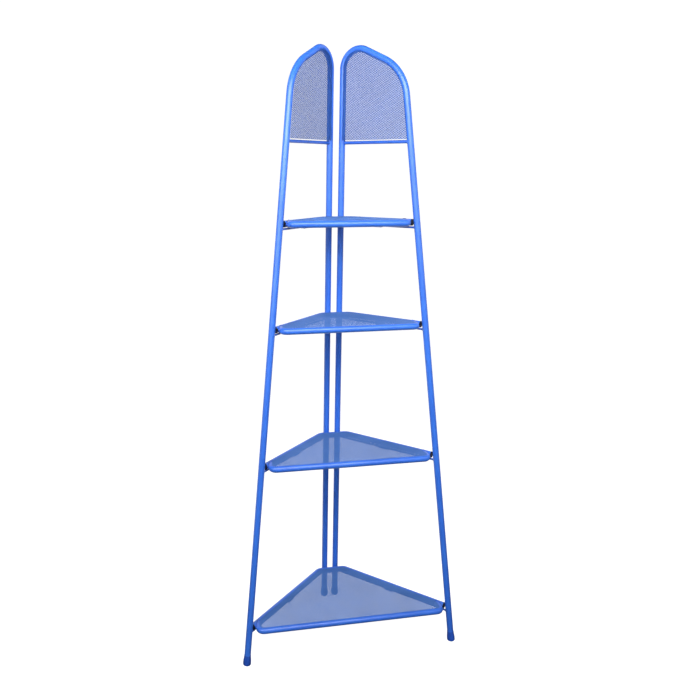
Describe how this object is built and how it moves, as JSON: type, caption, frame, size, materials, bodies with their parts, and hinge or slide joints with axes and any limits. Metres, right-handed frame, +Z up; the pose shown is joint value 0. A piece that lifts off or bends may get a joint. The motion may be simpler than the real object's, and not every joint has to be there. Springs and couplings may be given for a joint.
{
  "type": "corner shelf unit",
  "caption": "Tall tapering corner shelf unit of bent steel tube with triangular mesh shelves and mesh panels in the arched tops of its two side frames.",
  "frame": {"origin": "on the floor under the centre of the bounding box", "axes": "+Z up, +Y towards the room corner, +X to the right seen from the room"},
  "size_m": [0.6672, 0.328, 1.7673],
  "materials": {
    "tube_coat": "glossy blue powder coat on bent steel tube",
    "rod_coat": "glossy blue powder coat on steel rod and strip",
    "panel_mesh_coat": "blue powder coat on fine expanded steel mesh",
    "shelf_mesh_coat": "blue powder coat on fine expanded steel mesh",
    "foot_cap": "moulded blue plastic with a soft sheen",
    "rim_plug": "moulded black plastic"
  },
  "bodies": {
    "root": {"right_frame_tube": "tube_coat", "right_panel_rod": "rod_coat", "right_panel_mesh": "panel_mesh_coat", "right_rear_foot_cap": "foot_cap", "right_front_foot_cap": "foot_cap", "right_rung_1": "rod_coat", "right_rung_2": "rod_coat", "right_rung_3": "rod_coat", "right_rung_4": "rod_coat", "right_saddle_1": "rod_coat", "right_saddle_2": "rod_coat", "right_saddle_3": "rod_coat", "right_saddle_4": "rod_coat", "right_rim_plug_1": "rim_plug", "right_rim_plug_2": "rim_plug", "right_rim_plug_3": "rim_plug", "right_rim_plug_4": "rim_plug", "left_frame_tube": "tube_coat", "left_panel_rod": "rod_coat", "left_panel_mesh": "panel_mesh_coat", "left_rear_foot_cap": "foot_cap", "left_front_foot_cap": "foot_cap", "left_rung_1": "rod_coat", "left_rung_2": "rod_coat", "left_rung_3": "rod_coat", "left_rung_4": "rod_coat", "left_saddle_1": "rod_coat", "left_saddle_2": "rod_coat", "left_saddle_3": "rod_coat", "left_saddle_4": "rod_coat", "left_rim_plug_1": "rim_plug", "left_rim_plug_2": "rim_plug", "left_rim_plug_3": "rim_plug", "left_rim_plug_4": "rim_plug", "shelf_1_rim": "tube_coat", "shelf_1_front_bar": "tube_coat", "shelf_1_mesh": "shelf_mesh_coat", "shelf_2_rim": "tube_coat", "shelf_2_front_bar": "tube_coat", "shelf_2_mesh": "shelf_mesh_coat", "shelf_3_rim": "tube_coat", "shelf_3_front_bar": "tube_coat", "shelf_3_mesh": "shelf_mesh_coat", "shelf_4_rim": "tube_coat", "shelf_4_front_bar": "tube_coat", "shelf_4_mesh": "shelf_mesh_coat"}
  },
  "joints": []
}
